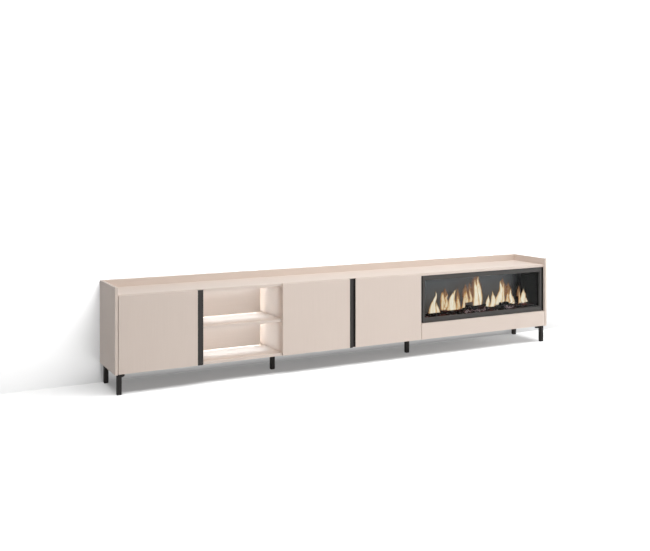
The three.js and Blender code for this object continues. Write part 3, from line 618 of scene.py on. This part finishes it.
# Flames: licks of thin film, each on its own bent spine, lit from the burner bar behind the logs
flames = {
    # from the front, in mm: the middle layer of licks, the next layers and a lick's bow
    "plane": 110,
    "layerStep": 4,
    "bow": 4,
    "stepsUp": 24,
    "stepsAcross": 8,
    # a lick is this much wider than its spine says, because its rim is clear
    "widen": 1.7,
    "thinnest": 0.3,
    # which licks burn amber, the first in the list being 0
    "amber": (2, 3, 5, 6, 7, 8, 15, 18),
    # each lick is its spine: places from the left, heights and half widths, in mm. They stand
    # in three layers by turns.
    "licks": [
        [(2186, 256, 32), (2183, 294, 23), (2188, 329, 15), (2202, 357, 9),
         (2211, 383, 5), (2207, 400, 3), (2197, 419, 0)],
        [(2227, 260, 18), (2224, 285, 13), (2219, 309, 7), (2214, 341, 0)],
        [(2280, 274, 26), (2277, 310, 20), (2272, 346, 15),
         (2268, 381, 9), (2267, 399, 4), (2274, 416, 0)],
        [(2291, 291, 15), (2298, 329, 10), (2292, 359, 7), (2304, 376, 5), (2293, 402, 0)],
        [(2346, 269, 39), (2348, 299, 30), (2344, 329, 22), (2349, 358, 17),
         (2362, 386, 10), (2377, 409, 4), (2388, 420, 0)],
        [(2401, 269, 19), (2402, 301, 15), (2399, 330, 10), (2395, 353, 5), (2390, 368, 0)],
        [(2439, 271, 15), (2444, 309, 10), (2446, 345, 6), (2448, 380, 4), (2447, 403, 0)],
        [(2472, 312, 19), (2469, 343, 15), (2465, 373, 10), (2458, 407, 0)],
        [(2506, 313, 16), (2511, 340, 11), (2503, 371, 7), (2495, 412, 0)],
        [(2551, 277, 23), (2551, 313, 23), (2551, 355, 17), (2547, 397, 12),
         (2542, 434, 9), (2539, 464, 4), (2535, 483, 0)],
        [(2578, 282, 20), (2581, 323, 22), (2581, 365, 19), (2575, 408, 15),
         (2569, 444, 10), (2567, 468, 5), (2572, 493, 0)],
        [(2651, 264, 18), (2659, 299, 14), (2662, 329, 8), (2666, 364, 0)],
        [(2686, 265, 24), (2702, 302, 19), (2699, 332, 14), (2693, 357, 8), (2690, 389, 0)],
        [(2743, 277, 29), (2756, 316, 27), (2768, 352, 19), (2776, 382, 14),
         (2771, 413, 9), (2764, 433, 5), (2776, 451, 0)],
        [(2785, 292, 23), (2788, 338, 17), (2795, 374, 10), (2800, 398, 5), (2790, 438, 0)],
        [(2834, 287, 20), (2831, 317, 14), (2832, 347, 8), (2834, 383, 0)],
        [(2862, 280, 22), (2862, 314, 17), (2858, 345, 10), (2862, 384, 0)],
        [(2886, 272, 14), (2886, 300, 9), (2881, 334, 0)],
        [(2946, 262, 15), (2940, 296, 10), (2937, 327, 6), (2940, 372, 0)],
        [(2965, 257, 24), (2970, 294, 22), (2978, 331, 18), (2978, 355, 10), (2974, 380, 0)],
        [(3003, 276, 16), (2997, 304, 10), (2988, 332, 0)],
    ],
    # thin brown licks round and past the tips of the bright ones, in two layers behind them
    "hazes": [
        [(2288, 330, 20), (2290, 370, 17), (2292, 405, 10), (2288, 430, 0)],
        [(2402, 320, 18), (2405, 355, 14), (2402, 390, 8), (2404, 418, 0)],
        [(2466, 350, 26), (2462, 385, 20), (2468, 420, 10), (2462, 446, 0)],
        [(2506, 350, 22), (2510, 390, 16), (2502, 425, 9), (2506, 452, 0)],
        [(2560, 300, 40), (2562, 400, 38), (2556, 470, 26), (2562, 518, 0)],
        [(2596, 300, 16), (2602, 350, 14), (2598, 392, 8), (2602, 420, 0)],
        [(2790, 330, 34), (2800, 390, 28), (2790, 430, 16), (2800, 468, 0)],
        [(2850, 340, 30), (2852, 375, 22), (2846, 405, 12), (2850, 432, 0)],
        [(2940, 320, 16), (2938, 352, 12), (2942, 385, 6), (2938, 404, 0)],
    ],
}
film = {
    # a wisp's size across and up the flame
    "wispWidth": 8 * mm,
    "wispHeight": 55 * mm,
    # from a lick's middle, as shares of its width: clear at the rim, and full within here
    "rimShare": 0.5,
    "fullShare": 0.08,
    "fullLevel": 0.95,
    # shares of a lick's height: it cools from here up, and is dimmed below here
    "coolShare": 0.55,
    "footShare": 0.06,
    "footDim": -0.4,
}


def filmTone(name, viewColour, spots, gain, opacity, fade):
    # film that is clear at its rim and glows in its body; its wisps run up it like drawn paint
    material, tree = newMaterial(name, viewColour)
    along = addNode(tree, "ShaderNodeUVMap", {"uv_map": "flame"})
    axes = addNode(tree, "ShaderNodeSeparateXYZ", inputs={0: along.outputs[0]})
    place = addNode(tree, "ShaderNodeTexCoord")
    scale = [1 / film["wispWidth"], 1 / film["wispWidth"], 1 / film["wispHeight"]]
    drawnOut = addNode(tree, "ShaderNodeMapping", inputs={
        "Vector": place.outputs["Object"], "Scale": scale})
    wisps = addNode(tree, "ShaderNodeTexNoise", inputs={
        "Vector": drawnOut.outputs[0], "Scale": 1.0, "Detail": 3.0, "Distortion": 0.7})
    fromMiddle = addNode(tree, "ShaderNodeMath", {"operation": "SUBTRACT"}, {
        0: axes.outputs["X"], 1: 0.5})
    away = addNode(tree, "ShaderNodeMath", {"operation": "ABSOLUTE"}, {0: fromMiddle.outputs[0]})
    body = addNode(tree, "ShaderNodeMapRange", {"interpolation_type": "SMOOTHSTEP"}, {
        "Value": away.outputs[0], "From Min": film["rimShare"], "From Max": film["fullShare"],
        "To Max": film["fullLevel"]})
    lick = addNode(tree, "ShaderNodeMapRange", inputs={
        "Value": wisps.outputs["Fac"], "From Min": 0.3, "From Max": 0.7,
        "To Min": 1 - gain, "To Max": 1 + gain})
    cooling = addNode(tree, "ShaderNodeMapRange", inputs={
        "Value": axes.outputs["Y"], "From Min": film["coolShare"], "From Max": 1.0,
        "To Min": 0.0, "To Max": -fade})
    foot = addNode(tree, "ShaderNodeMapRange", inputs={
        "Value": axes.outputs["Y"], "From Min": 0.0, "From Max": film["footShare"],
        "To Min": film["footDim"], "To Max": 0.0})
    ends = addNode(tree, "ShaderNodeMath", {"operation": "ADD"}, {
        0: cooling.outputs[0], 1: foot.outputs[0]})
    shape = addNode(tree, "ShaderNodeMath", {"operation": "MULTIPLY"}, {
        0: body.outputs[0], 1: lick.outputs[0]})
    heat = addNode(tree, "ShaderNodeMath", {"operation": "ADD", "use_clamp": True}, {
        0: shape.outputs[0], 1: ends.outputs[0]})
    tone = setRamp(addNode(tree, "ShaderNodeValToRGB", inputs={"Fac": heat.outputs[0]}), spots)
    # the wisps thin out with the body, so that no lick ends in a hard edge
    cover = addNode(tree, "ShaderNodeMapRange", {"interpolation_type": "SMOOTHSTEP"}, {
        "Value": heat.outputs[0], "From Min": 0.02, "From Max": 0.5,
        "To Min": 0.0, "To Max": opacity})
    glow = addNode(tree, "ShaderNodeEmission", inputs={
        "Color": tone.outputs["Color"], "Strength": 1.0})
    clear = addNode(tree, "ShaderNodeBsdfTransparent")
    mixed = addNode(tree, "ShaderNodeMixShader", inputs={
        0: cover.outputs[0], 1: clear.outputs[0], 2: glow.outputs[0]})
    addNode(tree, "ShaderNodeOutputMaterial", inputs={"Surface": mixed.outputs[0]})
    return material


def alongSpine(spine, share):
    # a smooth curve through the spine's points, in place, height and half width
    last = len(spine) - 1
    start = min(int(share * last), last - 1)
    t = share * last - start
    a, b, c, d = [Vector(spine[min(max(start + step, 0), last)]) for step in (-1, 0, 1, 2)]
    return 0.5 * (2 * b + (c - a) * t + (2 * a - 5 * b + 4 * c - d) * t ** 2
                  + (3 * b - a - 3 * c + d) * t ** 3)


def addLick(mesh, spine, layer, materialIndex):
    # a flat grid of size 1, bent along the spine
    grid = bmesh.ops.create_grid(mesh, x_segments=flames["stepsAcross"],
                                 y_segments=flames["stepsUp"], size=0.5, calc_uvs=True)
    for vert in grid["verts"]:
        side = 2 * vert.co.x
        x, z, half = alongSpine(spine, vert.co.y + 0.5)
        reach = max(half * flames["widen"], flames["thinnest"])
        y = flames["plane"] + layer * flames["layerStep"] - flames["bow"] * (1 - side ** 2)
        vert.co = frontLeft + Vector((x + side * reach, y, z)) * mm
    for face in {face for vert in grid["verts"] for face in vert.link_faces}:
        face.material_index = materialIndex


def makeFlames():
    # printed film lit from its edge: cream in the body, amber towards the rim, brown where it thins
    bright = filmTone("litFlameFilm", "#f0dcb8",
                      [(0.0, "#a96c3c"), (0.22, "#cb955e"), (0.46, "#ebc394"), (0.7, "#f5ddbc"),
                       (1.0, "#fff2e0")], gain=0.5, opacity=0.97, fade=0.72)
    # the middle licks burn lower: amber, with a cream heart
    amber = filmTone("amberFlameFilm", "#d9a36c",
                     [(0.0, "#84502f"), (0.3, "#b37545"), (0.6, "#d6a26e"), (0.85, "#eac79b"),
                      (1.0, "#f7e1c0")], gain=0.55, opacity=0.92, fade=0.75)
    # the same film further from the light: thin and brown
    thin = filmTone("thinFlameFilm", "#8a6048",
                    [(0.0, "#54352a"), (0.45, "#97603f"), (1.0, "#c8925f")],
                    gain=0.5, opacity=0.5, fade=0.5)
    mesh = bmesh.new()
    mesh.loops.layers.uv.new("flame")
    for count, spine in enumerate(flames["licks"]):
        addLick(mesh, spine, count % 3 - 1, 2 if count in flames["amber"] else 0)
    for count, spine in enumerate(flames["hazes"]):
        addLick(mesh, spine, 2 + count % 2, 1)
    piece = finishPiece("flame_films", mesh, [bright, thin, amber], "carcase")
    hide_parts("flame_tongues")


# Embers: broken charcoal, ash stones and live coals heaped on the moulded bed
embers = {
    "seed": 11,
    # a lump is a ball, stretched along, across and up within these limits, tilted and dented
    "stretch": ((0.9, 1.6), (0.7, 1.0), (0.5, 0.9)),
    "tilt": 0.6,
    "dents": 0.32,
    "dentScale": 1.6,
    # each lump's dents come from another place in the noise, within this reach
    "noiseReach": 90,
    # each heap: from the left, from the front, heights, how many, and sizes, in mm
    "charcoal": [
        ((2088, 3054), (44, 98), (246, 254), 120, (4, 9)),
        ((2100, 2432), (56, 82), (250, 262), 34, (6, 12)),
        ((2432, 2506), (74, 96), (258, 292), 20, (8, 15)),
        ((2600, 2740), (58, 92), (248, 268), 20, (6, 12)),
        ((2738, 2806), (74, 96), (260, 292), 18, (8, 15)),
        ((2850, 3010), (60, 92), (250, 268), 18, (6, 11)),
    ],
    "ashStones": [
        ((2424, 2616), (48, 66), (254, 270), 26, (6, 13)),
        ((2772, 2858), (50, 68), (256, 270), 15, (6, 12)),
        ((2640, 2700), (50, 64), (250, 260), 6, (5, 9)),
    ],
    "liveCoals": [
        ((2888, 3000), (60, 94), (258, 276), 16, (6, 11)),
        ((2460, 2620), (56, 76), (250, 262), 7, (4, 7)),
        ((2640, 2760), (60, 92), (254, 266), 7, (4, 8)),
        ((2300, 2420), (52, 74), (250, 256), 4, (3, 6)),
    ],
}


def addLump(mesh, place, size):
    spin = Matrix.Rotation(random.uniform(0, math.tau), 4, "Z")
    tilt = Matrix.Rotation(random.uniform(-embers["tilt"], embers["tilt"]), 4, "X")
    stretch = Matrix.Diagonal((*[random.uniform(*limits) for limits in embers["stretch"]], 1))
    lump = bmesh.ops.create_icosphere(mesh, subdivisions=2, radius=size)
    offset = Vector([random.uniform(0, embers["noiseReach"]) for _ in range(3)])
    for vert in lump["verts"]:
        dent = noise.noise(vert.co / size * embers["dentScale"] + offset)
        vert.co *= 1 + embers["dents"] * dent
    bmesh.ops.transform(mesh, matrix=Matrix.Translation(place) @ (spin @ tilt) @ stretch,
                        verts=lump["verts"])


def makeHeaps(name, heaps, material):
    mesh = bmesh.new()
    for *reaches, count, sizes in heaps:
        for _ in range(count):
            place = Vector([random.uniform(*reach) for reach in reaches])
            addLump(mesh, frontLeft + place * mm, random.uniform(*sizes) * mm)
    finishPiece(name, mesh, [material], "carcase", smooth=False)


random.seed(embers["seed"])
makeHeaps("charcoal_lumps", embers["charcoal"], charcoal)
makeHeaps("ash_stones", embers["ashStones"], ashStone)
makeHeaps("live_coals", embers["liveCoals"], liveCoal)
makeFlames()
print("fire laid")


def nodeBox(name):
    # the lowest and the highest corner of a piece of the cabinet
    corners = [nodes[name].matrix_world @ Vector(corner) for corner in nodes[name].bound_box]
    return [Vector([pick(corner[axis] for corner in corners) for axis in range(3)])
            for pick in (min, max)]


# Screws of the hinges and legs
screws = {
    "sides": 14,
    "hingeRadius": 3.4 * mm,
    "legRadius": 4.2 * mm,
    # a head as shares of its radius: its height, its crown, its dome's step and its socket's rim
    "heightShare": 0.45,
    "crownShare": 0.74,
    "domeShare": 0.3,
    "rimShare": 0.05,
    # and as shares of its height: the dome's rise, the socket's depth and how far it stands out
    "domeRiseShare": 0.12,
    "socketDepthShare": 0.7,
    "standShare": 0.4,
    # on a hinge arm: from its front end, and from the wall to its arm's face
    "armScrews": (24.5 * mm, 46.5 * mm),
    "armFace": 12 * mm,
    # on its plate, in a pair above and below the arm
    "plateScrew": 32.5 * mm,
    "plateFace": 4.2 * mm,
    "plateSpread": 15 * mm,
    # on a middle leg's plate: from its middle, and the plate's thickness
    "footSpread": 22 * mm,
    "footPlate": 3 * mm,
    # on a corner leg's arm: from the middle of the post, half the post, and the arm's depth
    "cornerArmScrew": 33 * mm,
    "halfPost": 12.5 * mm,
    "armDepth": 20 * mm,
}


def addScrew(mesh, place, outward, radius):
    # a domed head with the driver's socket sunk in it
    before = len(mesh.verts)
    height = screws["heightShare"] * radius
    head = bmesh.ops.create_cone(mesh, cap_ends=True, segments=screws["sides"], radius1=radius,
                                 radius2=screws["crownShare"] * radius, depth=height)
    cap = max({face for vert in head["verts"] for face in vert.link_faces},
              key=lambda face: face.calc_center_median().z)
    for width, rise in ((screws["domeShare"], screws["domeRiseShare"]),
                        (screws["rimShare"], -screws["socketDepthShare"])):
        bmesh.ops.inset_individual(mesh, faces=[cap], thickness=width * radius,
                                   depth=rise * height)
    mesh.verts.ensure_lookup_table()
    turn = Vector(outward).to_track_quat("Z", "Y").to_matrix().to_4x4()
    stand = Matrix.Translation((0, 0, screws["standShare"] * height))
    bmesh.ops.transform(mesh, matrix=Matrix.Translation(place) @ turn @ stand,
                        verts=mesh.verts[before:])


def makeHingeScrews():
    mesh = bmesh.new()
    for name in [name for name in nodes if name.startswith("hinge_arm_")]:
        low, high = nodeBox(name)
        inward = -1 if name.startswith("hinge_arm_3") else 1
        wall = low.x if inward == 1 else high.x
        middle = (low.z + high.z) / 2
        for along in screws["armScrews"]:
            addScrew(mesh, (wall + inward * screws["armFace"], low.y + along, middle),
                     (inward, 0, 0), screws["hingeRadius"])
        for side in (-1, 1):
            addScrew(mesh, (wall + inward * screws["plateFace"], low.y + screws["plateScrew"],
                            middle + side * screws["plateSpread"]),
                     (inward, 0, 0), screws["hingeRadius"])
    finishPiece("hinge_screws", mesh, [nickelPlate], "carcase", smooth=False)


def makeLegScrews():
    mesh = bmesh.new()
    down = (0, 0, -1)
    for name in ("leg_middle_left", "leg_middle_right"):
        low, high = nodeBox(name)
        middle, spread = (low + high) / 2, screws["footSpread"]
        for x, y in ((-1, -1), (1, -1), (1, 1), (-1, 1)):
            addScrew(mesh, (middle.x + x * spread, middle.y + y * spread,
                            high.z - screws["footPlate"]), down, screws["legRadius"])
    reach = screws["cornerArmScrew"] / math.sqrt(2)
    for side, x in (("left", 1), ("right", -1)):
        for end, y in (("front", 1), ("back", -1)):
            low, high = nodeBox("leg_" + end + "_" + side)
            corner = Vector((low.x if x > 0 else high.x, low.y if y > 0 else high.y))
            post = corner + Vector((x, y)) * screws["halfPost"]
            addScrew(mesh, (post.x + x * reach, post.y + y * reach,
                            high.z - screws["armDepth"]), down, screws["legRadius"])
    finishPiece("leg_screws", mesh, [powderCoat], "carcase", smooth=False)


# Blades of the mains inlet: three in a triangle
blades = {
    "size": (2 * mm, 9 * mm, 4 * mm),
    "spread": 7 * mm,
    # each blade's place across and up, as shares of the spread
    "places": ((-1, -0.3), (0, 0.3), (1, -0.3)),
    # from the inlet's rim to a blade's middle
    "sunk": 9.2 * mm,
    "bevel": 0.5 * mm,
}


def makeInletBlades():
    low, high = nodeBox("fire_inlet")
    middle, spread = (low + high) / 2, blades["spread"]
    mesh = bmesh.new()
    for x, z in blades["places"]:
        blade = bmesh.ops.create_cube(mesh, size=1)
        place = Vector((middle.x + x * spread, high.y - blades["sunk"], middle.z + z * spread))
        size = Matrix.Diagonal((*blades["size"], 1))
        bmesh.ops.transform(mesh, matrix=Matrix.Translation(place) @ size, verts=blade["verts"])
    bmesh.ops.bevel(mesh, geom=mesh.edges[:], offset=blades["bevel"], offset_type="OFFSET",
                    segments=2, profile=0.5, affect="EDGES", material=-1)
    finishPiece("inlet_blades", mesh, [nickelPlate], "carcase")


# Rings in the lead outlets: places from the left, a height, and a section in radius and depth,
# all in mm
rings = {
    "places": (254.5, 1261.5, 1759.75),
    "height": 464,
    "section": [(28.4, 345.4), (32.6, 345.4), (33.5, 346.2), (33.5, 347), (29.9, 347),
                (29.9, 349.9), (28.4, 349.9)],
    "steps": 40,
}


def makeOutletRings():
    mesh = bmesh.new()
    for place in rings["places"]:
        centre = frontLeft + Vector((place, 0, rings["height"])) * mm
        section = [mesh.verts.new(centre + Vector((radius, depth, 0)) * mm)
                   for radius, depth in rings["section"]]
        edges = [mesh.edges.new(ends) for ends in zip(section, section[1:] + section[:1])]
        bmesh.ops.spin(mesh, geom=section + edges, cent=centre, axis=(0, 1, 0), angle=math.tau,
                       steps=rings["steps"], use_merge=True)
    finishPiece("outlet_rings", mesh, [inletPlastic], "carcase", smooth=False)


# Buffers on the doors: two soft domes on each door's back, by its free edge, that meet the top
# and the floor board
buffers = {
    "radius": 4.5 * mm,
    "height": 1.6 * mm,
    "inset": 12 * mm,
    "rise": 8 * mm,
    "stepsAround": 20,
    "stepsUp": 12,
    # which way each door's free edge lies: 1 is right, -1 is left
    "freeSides": {1: 1, 2: 1, 3: -1},
    "tolerance": 0.001 * mm,
}


def makeBuffers(number, freeSide):
    low, high = nodeBox("door_" + str(number))
    x = (low.x if freeSide < 0 else high.x) - freeSide * buffers["inset"]
    turn = Matrix.Rotation(-math.pi / 2, 4, "X")
    flatten = Matrix.Diagonal((1, 1, buffers["height"] / buffers["radius"], 1))
    mesh = bmesh.new()
    for z in (low.z + buffers["rise"], high.z - buffers["rise"]):
        dome = bmesh.ops.create_uvsphere(mesh, u_segments=buffers["stepsAround"],
                                         v_segments=buffers["stepsUp"], radius=buffers["radius"])
        under = [vert for vert in dome["verts"] if vert.co.z < -buffers["tolerance"]]
        bmesh.ops.delete(mesh, geom=under, context="VERTS")
        bmesh.ops.transform(mesh, matrix=Matrix.Translation((x, high.y, z)) @ turn @ flatten,
                            verts=[vert for vert in dome["verts"] if vert.is_valid])
    bmesh.ops.holes_fill(mesh, edges=mesh.edges[:], sides=0)
    finishPiece("door_buffers_" + str(number), mesh, [softBuffer], "door_" + str(number))


makeHingeScrews()
makeLegScrews()
makeInletBlades()
makeOutletRings()
for number, freeSide in buffers["freeSides"].items():
    makeBuffers(number, freeSide)
print("hardware fitted")
